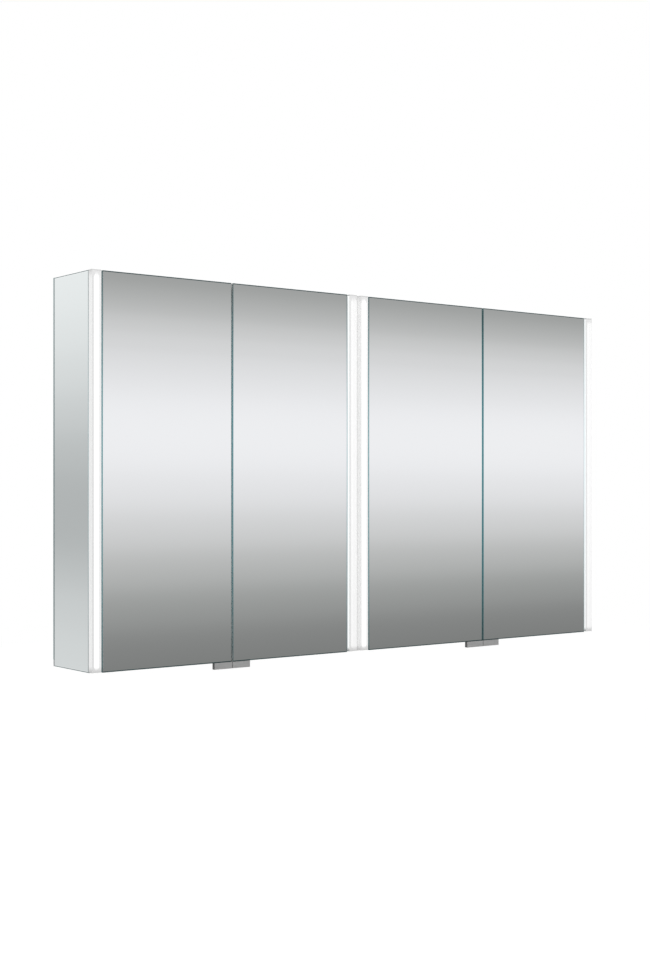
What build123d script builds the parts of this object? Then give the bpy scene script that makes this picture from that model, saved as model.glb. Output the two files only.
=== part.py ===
from build123d import *
import os
from math import cos, radians, sin

# Wall-hung mirror cabinet: four mirror doors in two pairs, lit by four vertical light strips.
# Frame: X to the right along the wall, Y = 0 at the wall with the doors towards -Y, Z up from mid height.
# All lengths are in millimetres.

# ---- driving sizes: the whole cabinet ----
cabinet_width = 1200.0
cabinet_height = 666.0
cabinet_depth = 137.0

# ---- front layout ----
strip_width = 18.0
strip_depth = 12.0
strip_bottom_lift = 1.0
strip_gap = 3.8
door_gap = 4.2
centre_recess = 9.0
narrow_door_width = 255.5
door_setback = 2.0

# ---- carcass ----
side_panel_thickness = 14.0
end_panel_thickness = 12.0
door_standoff = 1.5
rear_sheet_thickness = 4.0
wiring_depth = 14.0
back_mirror_thickness = 4.0
side_mirror_thickness = 4.0
side_mirror_setback = 0.5
rear_trim_depth = 5.0
rear_trim_lift = 11.5

# ---- mirrors and handles ----
door_mirror_thickness = 3.0
mirror_arris = 0.8
handle_drop = 11.6
narrow_handle_width = 37.0
wide_handle_width = 42.5
handle_gap = 1.0
handle_tab_thickness = 0.8
handle_tab_height = 26.0
handle_rounding = 0.6
finger_scoop_radius = 6.0
finger_scoop_depth = 1.6
finger_scoop_end = 4.0

# ---- light strips ----
diffuser_wall = 2.0
diffuser_rounding = 1.0
end_cap_thickness = 2.0
base_profile_thickness = 2.0
led_board_width = 10.0
led_board_thickness = 1.2

# ---- glass shelves ----
shelf_height = 107.0
shelf_thickness = 6.0
shelf_side_clearance = 1.0
shelf_back_clearance = 2.0
shelf_front_setback = 19.5
shelf_arris = 0.5
shelf_pin_radius = 2.5
shelf_pin_reach = 8.0
shelf_pin_inset = 15.0
pin_clearance = 0.05
hole_bottom_clearance = 0.3

# ---- two-link hinges, measured from the door's hinge edge (inward) and the carcass front (backward) ----
hinge_height = 230.0
door_pivot = (5.3, 4.3)
inner_arm_pivot = (20.1, 3.5)
open_pivot = (5.9, 11.8)
outer_arm_pivot = (50.0, 30.0)
link_thickness = 3.0
arm_thickness = 3.0
ear_thickness = 2.0
layer_gap = 0.5
link_end_radius = 2.8
arm_end_radius = 3.0
pivot_pin_radius = 1.5
open_pin_radius = 1.0
open_pivot_clearance = 0.8
pin_overrun = 0.3
rivet_head_radius = 2.4
rivet_head_height = 0.8
bracket_plate_thickness = 1.2
bracket_plate_start = 2.0
bracket_plate_length = 34.0
bracket_plate_height = 36.0
ear_root_start = 3.0
ear_root_length = 12.0
arm_plate_thickness = 2.0
arm_plate_start = 8.0
arm_plate_depth = 28.0
arm_plate_height = 30.0
arm_root_inset = 2.0
screw_pitch = 20.0
screw_radius = 1.8
screw_length = 11.0
screw_head_radius = 3.4
screw_head_height = 1.2
screw_hole_clearance = 0.1

# ---- wall fixing and electrics ----
wall_screw_span_x = 1000.0
wall_screw_span_z = 480.0
wall_screw_hole_radius = 3.25
bush_radius = 8.0
driver_top_inset = 51.0
driver_length = 160.0
driver_height = 40.0
driver_thickness = 12.0
driver_foot_length = 14.0
driver_foot_thickness = 2.0
gland_side_inset = 75.0
gland_top_inset = 51.0
gland_bore_radius = 4.0
gland_neck_radius = 8.0
gland_flange_radius = 11.0
gland_flange_thickness = 3.0
gland_nozzle_radius = 6.5
gland_nozzle_length = 6.0
switch_side_inset = 82.0
switch_z = 0.0
switch_plate_size = 60.0
switch_plate_thickness = 4.0
switch_box_width = 34.0
switch_box_height = 46.0
switch_box_depth = 13.0
rocker_width = 24.0
rocker_height = 34.0
rocker_side_clearance = 0.3
rocker_end_clearance = 1.0
rocker_tilt = 6.0
rocker_pin_radius = 1.5
rocker_pin_reach = 2.0
rocker_body_depth = 6.0
rocker_rise = 2.5

# ---- door bumpers ----
bumper_radius = 4.0
bumper_thickness = 1.2
bumper_inset = 75.0

# ---- places worked out from the sizes ----
half_width = cabinet_width / 2
half_height = cabinet_height / 2
front = -cabinet_depth
door_front = front + door_setback
door_back = door_front + 2 * door_mirror_thickness
carcass_front = door_back + door_standoff
strip_back = front + strip_depth
end_panel_inner = half_height - end_panel_thickness
sheet_front = -rear_sheet_thickness
back_mirror_back = sheet_front - wiring_depth
back_mirror_front = back_mirror_back - back_mirror_thickness
side_panel_outer = half_width - side_mirror_thickness
side_panel_inner = half_width - strip_width
pair_frame = 2 * (strip_width + strip_gap) + door_gap
wide_door_width = (cabinet_width - centre_recess - 2 * pair_frame) / 2 - narrow_door_width
left_pair_end = -half_width + pair_frame + 2 * narrow_door_width
right_pair_start = left_pair_end + centre_recess
pivot_hole_radius = pivot_pin_radius + pin_clearance
inner_layer = (arm_thickness / 2 + layer_gap, arm_thickness / 2 + layer_gap + link_thickness)
ear_layer = (inner_layer[1] + layer_gap, inner_layer[1] + layer_gap + ear_thickness)


def pair_layout(start, width, numbers):
    """Places of one pair of doors and of its two strips, from the left end of the pair."""
    first = start + strip_width + strip_gap
    second = first + width + door_gap
    end = second + width + strip_gap
    strips = [(start, start + strip_width), (end, end + strip_width)]
    doors = [
        {"name": numbers[0], "edge": first, "inward": 1, "width": width},
        {"name": numbers[1], "edge": second + width, "inward": -1, "width": width},
    ]
    return strips, doors


left_strips, left_doors = pair_layout(-half_width, narrow_door_width, (1, 2))
right_strips, right_doors = pair_layout(right_pair_start, wide_door_width, (3, 4))
strips = left_strips + right_strips
doors = left_doors + right_doors
left_partition_span = (left_strips[1][0], left_strips[1][0] + side_panel_thickness)
right_partition_span = (right_strips[0][1] - side_panel_thickness, right_strips[0][1])
left_bay = (-side_panel_inner, left_partition_span[0])
right_bay = (right_partition_span[1], side_panel_inner)
bays = [left_bay, right_bay]
shelf_levels = [shelf_height, -shelf_height]
driver_centre_x = sum(right_bay) / 2
driver_centre_z = end_panel_inner - driver_top_inset
gland_x = right_bay[0] + gland_side_inset
gland_z = end_panel_inner - gland_top_inset
switch_x = right_bay[1] - switch_side_inset
wall_screw_places = [
    (x, z)
    for x in (-wall_screw_span_x / 2, wall_screw_span_x / 2)
    for z in (-wall_screw_span_z / 2, wall_screw_span_z / 2)
]

nodes = {}


# ---- helpers ----
def block(x_span, y_span, z_span):
    """Box between two coordinates along each axis."""
    middle = Vector(sum(x_span) / 2, sum(y_span) / 2, sum(z_span) / 2)
    return Pos(middle) * Box(x_span[1] - x_span[0], y_span[1] - y_span[0], z_span[1] - z_span[0])


def rod_x(radius, x_span, y, z):
    """Round bar along X."""
    length = x_span[1] - x_span[0]
    return Pos(sum(x_span) / 2, y, z) * Rot(0, 90, 0) * Cylinder(radius, length)


def rod_y(radius, y_span, x, z):
    """Round bar along Y."""
    length = y_span[1] - y_span[0]
    return Pos(x, sum(y_span) / 2, z) * Rot(90, 0, 0) * Cylinder(radius, length)


def rod_z(radius, z_span, x, y):
    """Round bar along Z."""
    length = z_span[1] - z_span[0]
    return Pos(x, y, sum(z_span) / 2) * Cylinder(radius, length)


def plate_z(sketch, z_span):
    """Flat plate of a sketched outline between two heights."""
    return extrude(Pos(0, 0, z_span[0]) * sketch, z_span[1] - z_span[0])


def arris_front(shape, size):
    """Ground arris round the front face of a sheet that faces -Y."""
    return chamfer(shape.faces().sort_by(Axis.Y)[0].edges(), size)


def store(name, solids):
    """Keep one node; a list of solids becomes one group."""
    nodes[name] = Compound(children=solids) if isinstance(solids, list) else solids


# ---- hinge frame: x runs inward from the door's hinge edge, y runs back from the carcass front ----
def hinge_x(door, x):
    return door["edge"] + door["inward"] * x


def hinge_y(y):
    return carcass_front + y


def hinge_point(door, point):
    return hinge_x(door, point[0]), hinge_y(point[1])


def hinge_span(door, start, end):
    """X span between two distances from the door's hinge edge, in rising order."""
    return tuple(sorted((hinge_x(door, start), hinge_x(door, end))))


def layer_span(height, layer, side):
    """Height span of one hinge layer, below (-1) or above (+1) the arm."""
    return tuple(sorted((height + side * layer[0], height + side * layer[1])))


def round_at(door, point, radius):
    return Pos(*hinge_point(door, point)) * Circle(radius)


def bar_outline(door, start, start_radius, end, end_radius):
    """Outline of a flat bar with a round end at each of two hinge points."""
    ends = round_at(door, start, start_radius).edges() + round_at(door, end, end_radius).edges()
    return make_hull(ends)


def pad_outline(door, x_span, y_span):
    """Rectangle in the hinge frame, as the root of an ear or an arm."""
    middle = (sum(x_span) / 2, sum(y_span) / 2)
    size = (x_span[1] - x_span[0], y_span[1] - y_span[0])
    return Pos(*hinge_point(door, middle)) * Rectangle(*size)


hinge_places = [(door, height) for door in doors for height in (hinge_height, -hinge_height)]


def screw_heights(height):
    return [height - screw_pitch / 2, height + screw_pitch / 2]


screw_y = hinge_y(arm_plate_start + arm_plate_depth / 2)


# ---- carcass panels ----
def end_panel(z_span):
    """Top or bottom panel, notched at the front for the two middle strips."""
    panel = block((-side_panel_inner, side_panel_inner), (carcass_front, 0), z_span)
    notch_span = (left_partition_span[0], right_partition_span[1])
    return panel - block(notch_span, (carcass_front, strip_back), z_span)


def shelf_pin_places():
    """Y and Z of the shelf pins, the same in every wall of a bay."""
    shelf_front = carcass_front + shelf_front_setback
    shelf_back = back_mirror_front - shelf_back_clearance
    depths = (shelf_front + shelf_pin_inset, shelf_back - shelf_pin_inset)
    heights = [level - shelf_thickness / 2 - shelf_pin_radius for level in shelf_levels]
    return [(y, z) for y in depths for z in heights]


def bored_wall(panel, wall_x, into, door):
    """Bore a wall for its shelf pins and for the screws of the hinges of one door."""
    pin_bore = tuple(sorted((wall_x, wall_x + into * (shelf_pin_reach + hole_bottom_clearance))))
    for y, z in shelf_pin_places():
        panel -= rod_x(shelf_pin_radius + pin_clearance, pin_bore, y, z)
    plate_and_shank = screw_length - arm_plate_thickness + hole_bottom_clearance
    screw_bore = tuple(sorted((wall_x, wall_x + into * plate_and_shank)))
    for hinge_door, height in hinge_places:
        if hinge_door is door:
            for z in screw_heights(height):
                panel -= rod_x(screw_radius + pin_clearance, screw_bore, screw_y, z)
    return panel


def carcass():
    full_height = (-half_height, half_height)
    inner_height = (-end_panel_inner, end_panel_inner)
    store("top_panel", end_panel((end_panel_inner, half_height)))
    store("bottom_panel", end_panel((-half_height, -end_panel_inner)))
    left_side = block((-side_panel_outer, -side_panel_inner), (strip_back, 0), full_height)
    right_side = block((side_panel_inner, side_panel_outer), (strip_back, 0), full_height)
    store("left_side_panel", bored_wall(left_side, -side_panel_inner, -1, doors[0]))
    store("right_side_panel", bored_wall(right_side, side_panel_inner, 1, doors[3]))
    left_middle = block(left_partition_span, (strip_back, sheet_front), inner_height)
    right_middle = block(right_partition_span, (strip_back, sheet_front), inner_height)
    store("left_partition", bored_wall(left_middle, left_partition_span[0], 1, doors[1]))
    store("right_partition", bored_wall(right_middle, right_partition_span[1], -1, doors[2]))
    spacer_span = (left_partition_span[1], right_partition_span[0])
    store("centre_spacer", block(spacer_span, (strip_back, sheet_front), inner_height))


def rear_sheet():
    """Sheet against the wall, with the wall screw holes and the hole of the cable gland."""
    sheet = block(
        (-side_panel_inner, side_panel_inner), (sheet_front, 0), (-end_panel_inner, end_panel_inner)
    )
    for x, z in wall_screw_places:
        sheet -= rod_y(wall_screw_hole_radius, (sheet_front, 0), x, z)
    sheet -= rod_y(gland_neck_radius, (sheet_front, 0), gland_x, gland_z)
    store("rear_sheet", sheet)


# ---- mirrored sides and backs ----
def side_mirrors():
    y_span = (strip_back + side_mirror_setback, -rear_trim_depth)
    trims = []
    for name, side in (("left_side_mirror", -1), ("right_side_mirror", 1)):
        x_span = tuple(sorted((side * side_panel_outer, side * half_width)))
        mirror = block(x_span, y_span, (-half_height, half_height))
        outer_face = mirror.faces().sort_by(Axis.X)[-1 if side > 0 else 0]
        store(name, chamfer(outer_face.edges(), mirror_arris))
        trim_height = (-half_height + rear_trim_lift, half_height)
        trims.append(block(x_span, (-rear_trim_depth, 0), trim_height))
    store("rear_edge_trims", trims)


def back_mirrors():
    """Mirrored backs of the two bays, with holes for the bushes and for the switch box."""
    for name, bay in (("left_back_mirror", left_bay), ("right_back_mirror", right_bay)):
        y_span = (back_mirror_front, back_mirror_back)
        mirror = block(bay, y_span, (-end_panel_inner, end_panel_inner))
        for x, z in wall_screw_places:
            if bay[0] < x < bay[1]:
                mirror -= rod_y(bush_radius, y_span, x, z)
        if bay[0] < switch_x < bay[1]:
            box_x = (switch_x - switch_box_width / 2, switch_x + switch_box_width / 2)
            box_z = (switch_z - switch_box_height / 2, switch_z + switch_box_height / 2)
            mirror -= block(box_x, y_span, box_z)
        store(name, mirror)


# ---- light strips ----
def light_strips():
    bottom = -half_height + strip_bottom_lift
    cap_spans = [(bottom, bottom + end_cap_thickness), (half_height - end_cap_thickness, half_height)]
    glow_span = (cap_spans[0][1], cap_spans[1][0])
    base_front = strip_back - base_profile_thickness
    profiles = []
    boards = []
    caps = []
    for number, (x0, x1) in enumerate(strips, start=1):
        shell = block((x0, x1), (front, strip_back), glow_span)
        corner_edges = shell.edges().filter_by(Axis.Z).sort_by(Axis.Y)[:2]
        shell = fillet(corner_edges, diffuser_rounding)
        inner_x = (x0 + diffuser_wall, x1 - diffuser_wall)
        shell -= block(inner_x, (front + diffuser_wall, strip_back), glow_span)
        store(f"light_diffuser_{number}", shell)
        profiles.append(block(inner_x, (base_front, strip_back), glow_span))
        middle = (x0 + x1) / 2
        board_x = (middle - led_board_width / 2, middle + led_board_width / 2)
        boards.append(block(board_x, (base_front - led_board_thickness, base_front), glow_span))
        for cap_span in cap_spans:
            cap = block((x0, x1), (front, strip_back), cap_span)
            caps.append(fillet(cap.edges().filter_by(Axis.Z).sort_by(Axis.Y)[:2], diffuser_rounding))
    store("light_base_profiles", profiles)
    store("led_boards", boards)
    store("light_end_caps", caps)


# ---- shelves ----
def shelves():
    y_span = (carcass_front + shelf_front_setback, back_mirror_front - shelf_back_clearance)
    number = 0
    pins = []
    for bay in bays:
        x_span = (bay[0] + shelf_side_clearance, bay[1] - shelf_side_clearance)
        for level in shelf_levels:
            number += 1
            z_span = (level - shelf_thickness / 2, level + shelf_thickness / 2)
            glass = block(x_span, y_span, z_span)
            front_edges = glass.faces().sort_by(Axis.Y)[0].edges().filter_by(Axis.X)
            store(f"glass_shelf_{number}", chamfer(front_edges, shelf_arris))
        for wall_x, inward in ((bay[0], 1), (bay[1], -1)):
            pin_span = tuple(sorted((wall_x - inward * shelf_pin_reach, wall_x + inward * shelf_pin_reach)))
            for y, z in shelf_pin_places():
                pins.append(rod_x(shelf_pin_radius, pin_span, y, z))
    store("shelf_pins", pins)


# ---- doors ----
def door_mirrors(door):
    """Front and rear mirror of one door, bonded back to back."""
    x_span = hinge_span(door, 0, door["width"])
    height = (-half_height, half_height)
    bond = door_front + door_mirror_thickness
    front_glass = block(x_span, (door_front, bond), height)
    store(f"front_mirror_{door['name']}", arris_front(front_glass, mirror_arris))
    store(f"rear_mirror_{door['name']}", block(x_span, (bond, door_back), height))


def door_handle(door):
    """Finger pull under the free corner of a door, with a tab bonded behind the rear mirror."""
    width = narrow_handle_width if door in left_doors else wide_handle_width
    overhang = (door_gap - handle_gap) / 2
    grip_start = door["width"] + overhang - width
    grip_x = hinge_span(door, grip_start, door["width"] + overhang)
    grip_y = (door_front, door_back + handle_tab_thickness)
    grip = block(grip_x, grip_y, (-half_height - handle_drop, -half_height))
    grip = fillet(grip.faces().sort_by(Axis.Z)[0].edges(), handle_rounding)
    scoop_x = (grip_x[0] + finger_scoop_end, grip_x[1] - finger_scoop_end)
    scoop_y = door_back + handle_tab_thickness + finger_scoop_radius - finger_scoop_depth
    grip -= rod_x(finger_scoop_radius, scoop_x, scoop_y, -half_height - handle_drop / 2)
    tab_height = (-half_height - handle_rounding, -half_height + handle_tab_height)
    tab_x = hinge_span(door, grip_start, door["width"])
    tab = block(tab_x, (door_back, door_back + handle_tab_thickness), tab_height)
    store(f"door_handle_{door['name']}", grip + tab)


# ---- two-link hinges ----
def hinge_bracket(door, height):
    """Plate bonded to the door's back, with two ears that carry the rivets of the links."""
    plate_x = hinge_span(door, bracket_plate_start, bracket_plate_start + bracket_plate_length)
    plate_y = (door_back, door_back + bracket_plate_thickness)
    half_plate = bracket_plate_height / 2
    bracket = block(plate_x, plate_y, (height - half_plate, height + half_plate))
    root_x = (ear_root_start, ear_root_start + ear_root_length)
    root_y = (-door_standoff, -door_standoff + bracket_plate_thickness)
    root = pad_outline(door, root_x, root_y)
    top = round_at(door, open_pivot, link_end_radius)
    near = round_at(door, door_pivot, link_end_radius)
    ear = make_hull(root.edges() + top.edges() + near.edges())
    for side in (-1, 1):
        bracket += plate_z(ear, layer_span(height, ear_layer, side))
    x, y = hinge_point(door, door_pivot)
    bracket -= rod_z(pivot_hole_radius, layer_span(height, ear_layer, -1), x, y)
    x, y = hinge_point(door, open_pivot)
    bracket -= rod_z(open_pin_radius + pin_clearance, layer_span(height, ear_layer, 1), x, y)
    return bracket


def ear_rivet(door, height, point, radius, side):
    """Rivet from the outside of an ear to just past the link that turns on it."""
    x, y = hinge_point(door, point)
    shank = layer_span(height, (inner_layer[0] - pin_overrun, ear_layer[1]), side)
    head = layer_span(height, (ear_layer[1], ear_layer[1] + rivet_head_height), side)
    return rod_z(radius, shank, x, y) + rod_z(rivet_head_radius, head, x, y)


def inner_link(door, height):
    outline = bar_outline(door, door_pivot, link_end_radius, inner_arm_pivot, arm_end_radius)
    link = plate_z(outline, layer_span(height, inner_layer, -1))
    for point in (door_pivot, inner_arm_pivot):
        link -= rod_z(pivot_hole_radius, layer_span(height, inner_layer, -1), *hinge_point(door, point))
    return link


def outer_link(door, height):
    """Long link: a close hole on the arm, and an eye with play round the ear's thin rivet."""
    outline = bar_outline(door, open_pivot, link_end_radius, outer_arm_pivot, arm_end_radius)
    layer = layer_span(height, inner_layer, 1)
    link = plate_z(outline, layer)
    link -= rod_z(open_pin_radius + open_pivot_clearance, layer, *hinge_point(door, open_pivot))
    link -= rod_z(pivot_hole_radius, layer, *hinge_point(door, outer_arm_pivot))
    return link


def hinge_arm(door, height):
    """Fixed arm: a plate screwed to the bay's wall and a web that reaches both arm pivots."""
    wall = -strip_gap
    plate_y = (hinge_y(arm_plate_start), hinge_y(arm_plate_start + arm_plate_depth))
    half_plate = arm_plate_height / 2
    plate_x = hinge_span(door, wall, wall + arm_plate_thickness)
    arm = block(plate_x, plate_y, (height - half_plate, height + half_plate))
    root_y = (arm_plate_start + arm_root_inset, arm_plate_start + arm_plate_depth - arm_root_inset)
    root = pad_outline(door, (wall, wall + arm_plate_thickness), root_y)
    ends = [round_at(door, point, arm_end_radius) for point in (inner_arm_pivot, outer_arm_pivot)]
    web = make_hull(root.edges() + ends[0].edges() + ends[1].edges())
    web_span = (height - arm_thickness / 2, height + arm_thickness / 2)
    arm += plate_z(web, web_span)
    for point in (inner_arm_pivot, outer_arm_pivot):
        arm -= rod_z(pivot_hole_radius, web_span, *hinge_point(door, point))
    for z in screw_heights(height):
        arm -= rod_x(screw_radius + screw_hole_clearance, plate_x, screw_y, z)
    return arm


def arm_pin(door, height, point, side):
    """Pin fixed in the arm's web, on which one link turns."""
    x, y = hinge_point(door, point)
    reach = inner_layer[1] + pin_overrun
    far_side = arm_thickness / 2 + pin_overrun
    return rod_z(pivot_pin_radius, tuple(sorted((height - side * far_side, height + side * reach))), x, y)


def hinge_screw(door, z):
    """Pan-head screw through the arm's plate into the wall of the bay."""
    seat = -strip_gap + arm_plate_thickness
    shank = hinge_span(door, seat - screw_length, seat)
    head = hinge_span(door, seat, seat + screw_head_height)
    return rod_x(screw_radius, shank, screw_y, z) + rod_x(screw_head_radius, head, screw_y, z)


def hinges():
    arms = [hinge_arm(door, height) for door, height in hinge_places]
    pins = []
    screws = []
    for door, height in hinge_places:
        pins.append(arm_pin(door, height, inner_arm_pivot, -1))
        pins.append(arm_pin(door, height, outer_arm_pivot, 1))
        screws += [hinge_screw(door, z) for z in screw_heights(height)]
    store("hinge_arms", arms)
    store("hinge_arm_pins", pins)
    store("hinge_screws", screws)
    for door in doors:
        heights = (hinge_height, -hinge_height)
        brackets = [hinge_bracket(door, z) for z in heights]
        rivets = [ear_rivet(door, z, door_pivot, pivot_pin_radius, -1) for z in heights]
        rivets += [ear_rivet(door, z, open_pivot, open_pin_radius, 1) for z in heights]
        store(f"hinge_brackets_{door['name']}", brackets + rivets)
        store(f"inner_links_{door['name']}", [inner_link(door, z) for z in heights])
        store(f"outer_links_{door['name']}", [outer_link(door, z) for z in heights])


def door_bumpers():
    """Clear bumpers on the front edges of the top and bottom panels, near each free corner."""
    y_span = (carcass_front - bumper_thickness, carcass_front)
    level = half_height - end_panel_thickness / 2
    bumpers = []
    for door in doors:
        x = hinge_x(door, door["width"] - bumper_inset)
        bumpers += [rod_y(bumper_radius, y_span, x, z) for z in (-level, level)]
    store("door_bumpers", bumpers)


# ---- wall fixing and electrics ----
def mounting_bushes():
    """Spacer tubes between the rear sheet and the mirrored back, one for each wall screw."""
    y_span = (back_mirror_front, sheet_front)
    bushes = []
    for x, z in wall_screw_places:
        bushes.append(rod_y(bush_radius, y_span, x, z) - rod_y(wall_screw_hole_radius, y_span, x, z))
    store("mounting_bushes", bushes)


def led_driver():
    """Driver case with a screwed foot at each end, in the wiring space on the rear sheet."""
    half_length = driver_length / 2
    x_span = (driver_centre_x - half_length, driver_centre_x + half_length)
    z_span = (driver_centre_z - driver_height / 2, driver_centre_z + driver_height / 2)
    case = block(x_span, (sheet_front - driver_thickness, sheet_front), z_span)
    foot_x = (x_span[0] - driver_foot_length, x_span[1] + driver_foot_length)
    case += block(foot_x, (sheet_front - driver_foot_thickness, sheet_front), z_span)
    head_span = (
        sheet_front - driver_foot_thickness - screw_head_height,
        sheet_front - driver_foot_thickness,
    )
    shank_span = (head_span[1], sheet_front + rear_sheet_thickness / 2)
    screws = []
    for x in (x_span[0] - driver_foot_length / 2, x_span[1] + driver_foot_length / 2):
        for z in (driver_centre_z - driver_height / 4, driver_centre_z + driver_height / 4):
            case -= rod_y(screw_radius + pin_clearance, (head_span[1], sheet_front), x, z)
            nodes["rear_sheet"] -= rod_y(screw_radius + pin_clearance, (sheet_front, shank_span[1]), x, z)
            screw = rod_y(screw_radius, shank_span, x, z) + rod_y(screw_head_radius, head_span, x, z)
            screws.append(screw)
    store("led_driver", case)
    store("driver_screws", screws)


def cable_gland():
    """Rubber gland for the mains cable: neck in the rear sheet, flange and nozzle inside."""
    flange_front = sheet_front - gland_flange_thickness
    nozzle_front = flange_front - gland_nozzle_length
    gland = rod_y(gland_neck_radius, (sheet_front, 0), gland_x, gland_z)
    gland += rod_y(gland_flange_radius, (flange_front, sheet_front), gland_x, gland_z)
    gland += rod_y(gland_nozzle_radius, (nozzle_front, flange_front), gland_x, gland_z)
    gland -= rod_y(gland_bore_radius, (nozzle_front, 0), gland_x, gland_z)
    store("cable_gland", gland)


def light_switch():
    """Switch plate on the mirrored back, with its box behind, and the rocker that turns in it."""
    plate_front = back_mirror_front - switch_plate_thickness
    box_back = back_mirror_front + switch_box_depth
    half_plate = switch_plate_size / 2
    plate_x = (switch_x - half_plate, switch_x + half_plate)
    plate_z = (switch_z - half_plate, switch_z + half_plate)
    plate = block(plate_x, (plate_front, back_mirror_front), plate_z)
    plate = fillet(plate.faces().sort_by(Axis.Y)[0].edges(), rocker_pin_radius)
    box_x = (switch_x - switch_box_width / 2, switch_x + switch_box_width / 2)
    box_z = (switch_z - switch_box_height / 2, switch_z + switch_box_height / 2)
    plate += block(box_x, (back_mirror_front, box_back), box_z)
    pocket_half_width = rocker_width / 2 + rocker_side_clearance
    pocket_half_height = rocker_height / 2 + rocker_end_clearance
    pocket_x = (switch_x - pocket_half_width, switch_x + pocket_half_width)
    pocket_z = (switch_z - pocket_half_height, switch_z + pocket_half_height)
    pocket_back = back_mirror_front + rocker_body_depth + rocker_end_clearance
    plate -= block(pocket_x, (plate_front, pocket_back), pocket_z)
    pin_reach = rocker_width / 2 + rocker_pin_reach
    bore_half = pin_reach + hole_bottom_clearance
    bore_x = (switch_x - bore_half, switch_x + bore_half)
    plate -= rod_x(rocker_pin_radius + pin_clearance, bore_x, back_mirror_front, switch_z)
    store("switch_plate", plate)

    half_rocker = rocker_height / 2
    tip = plate_front + sin(radians(rocker_tilt)) * half_rocker - rocker_rise
    hollow = tip + half_rocker * sin(radians(rocker_tilt))
    back_half = half_rocker * cos(radians(rocker_tilt)) / 2
    outline = Polyline(
        (tip, half_rocker),
        (hollow, 0),
        (tip, -half_rocker),
        (back_mirror_front, -half_rocker),
        (back_mirror_front + rocker_body_depth - rocker_rise, -back_half),
        (back_mirror_front + rocker_body_depth - rocker_rise, back_half),
        (back_mirror_front, half_rocker),
        close=True,
    )
    profile = Plane.YZ * make_face(outline)
    body = extrude(profile, rocker_width / 2, both=True)
    body = Pos(switch_x, 0, switch_z) * body
    body += rod_x(rocker_pin_radius, (switch_x - pin_reach, switch_x + pin_reach), back_mirror_front, switch_z)
    turn = Pos(0, back_mirror_front, switch_z) * Rot(rocker_tilt, 0, 0) * Pos(0, -back_mirror_front, -switch_z)
    store("switch_rocker", turn * body)


carcass()
rear_sheet()
side_mirrors()
back_mirrors()
light_strips()
shelves()
for cabinet_door in doors:
    door_mirrors(cabinet_door)
    door_handle(cabinet_door)
hinges()
door_bumpers()
mounting_bushes()
led_driver()
cable_gland()
light_switch()

os.makedirs("parts", exist_ok=True)
for node_name, shape in nodes.items():
    export_step(shape, f"parts/{node_name}.step")
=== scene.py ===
"""Looks of the four-door mirror cabinet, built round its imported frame. Lengths are in metres."""
from math import cos, pi, radians, sin

import bmesh
import bpy
from mathutils import Matrix, Vector


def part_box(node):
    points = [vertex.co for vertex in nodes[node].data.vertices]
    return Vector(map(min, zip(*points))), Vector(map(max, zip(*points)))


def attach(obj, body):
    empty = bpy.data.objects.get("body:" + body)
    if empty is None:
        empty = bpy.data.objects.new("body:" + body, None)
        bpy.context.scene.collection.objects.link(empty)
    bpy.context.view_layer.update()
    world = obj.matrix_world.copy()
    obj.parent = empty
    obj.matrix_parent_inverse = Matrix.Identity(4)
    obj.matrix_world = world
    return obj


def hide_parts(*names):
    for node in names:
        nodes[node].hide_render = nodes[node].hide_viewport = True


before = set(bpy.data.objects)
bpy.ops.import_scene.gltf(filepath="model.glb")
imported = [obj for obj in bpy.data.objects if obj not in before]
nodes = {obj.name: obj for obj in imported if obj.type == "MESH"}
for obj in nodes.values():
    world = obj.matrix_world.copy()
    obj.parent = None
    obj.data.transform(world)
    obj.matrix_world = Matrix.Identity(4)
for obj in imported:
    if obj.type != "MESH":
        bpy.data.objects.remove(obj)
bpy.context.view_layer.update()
scene = bpy.context.scene
MM = 0.001
# Numbers of the doors with their hinges and handles, of the light strips and of the shelves
numbers = (1, 2, 3, 4)

# ---- camera: level, a little below mid height, turned to the right ----
camera_turn = radians(-37.525)
camera_place = Vector((-1.80085, -2.32947, -0.0265))
lens_mm = 55.48
sensor_mm = 36.0

# ---- studio ----
world_light = 0.55
floor_height = -1.65
floor_reach = 12.0
floor_glow = 0.5
card_distance = 0.5
card_half_height = 1.6
front_card_half_width = 2.2
side_card_near = -0.2
side_card_far = 2.4
# Name, place, target, diameter and energy
lamps = (
    ("key", (-1.6, -2.6, 1.8), (0, -0.1, 0), 1.6, 26.0),
    ("fill", (2.4, -2.2, 1.0), (0, -0.1, 0), 2.0, 13.0),
    ("back_fill", (0.8, 2.8, 1.4), (0, 0, 0), 2.0, 22.0),
)

# ---- screws, pins and bumpers ----
screw_shank_radius = 1.8 * MM
screw_tip_radius = 0.30 * screw_shank_radius
screw_tip_height = 0.2 * MM
screw_point_height = 2.2 * MM
screw_head_height = 1.2 * MM
# Dome of the head: share of its radius, and share of its height below the top
screw_dome = ((1.0, 0.75), (0.93, 0.30), (0.74, 0.0))
recess_depth = 0.8 * screw_head_height
recess_reach_share = 0.55
recess_floor_share = 0.6
recess_arm_half_width = 0.45 * MM
pin_flat_share = 0.75
pin_rounding_share = 0.3
shelf_pin_chamfer_share = 0.2
shelf_pin_nose_share = 0.4
# Nose of a shelf pin: share of its radius, and share of the nose's length below the tip
shelf_pin_nose = ((1.0, 1.0), (0.85, 0.3), (0.5, 0.0))
collar_radius = 3.5 * MM
collar_thickness = 0.8 * MM
collar_face_share = 0.93
collar_side_share = 0.7
dome_step = radians(15)
dome_steps = 6

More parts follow.
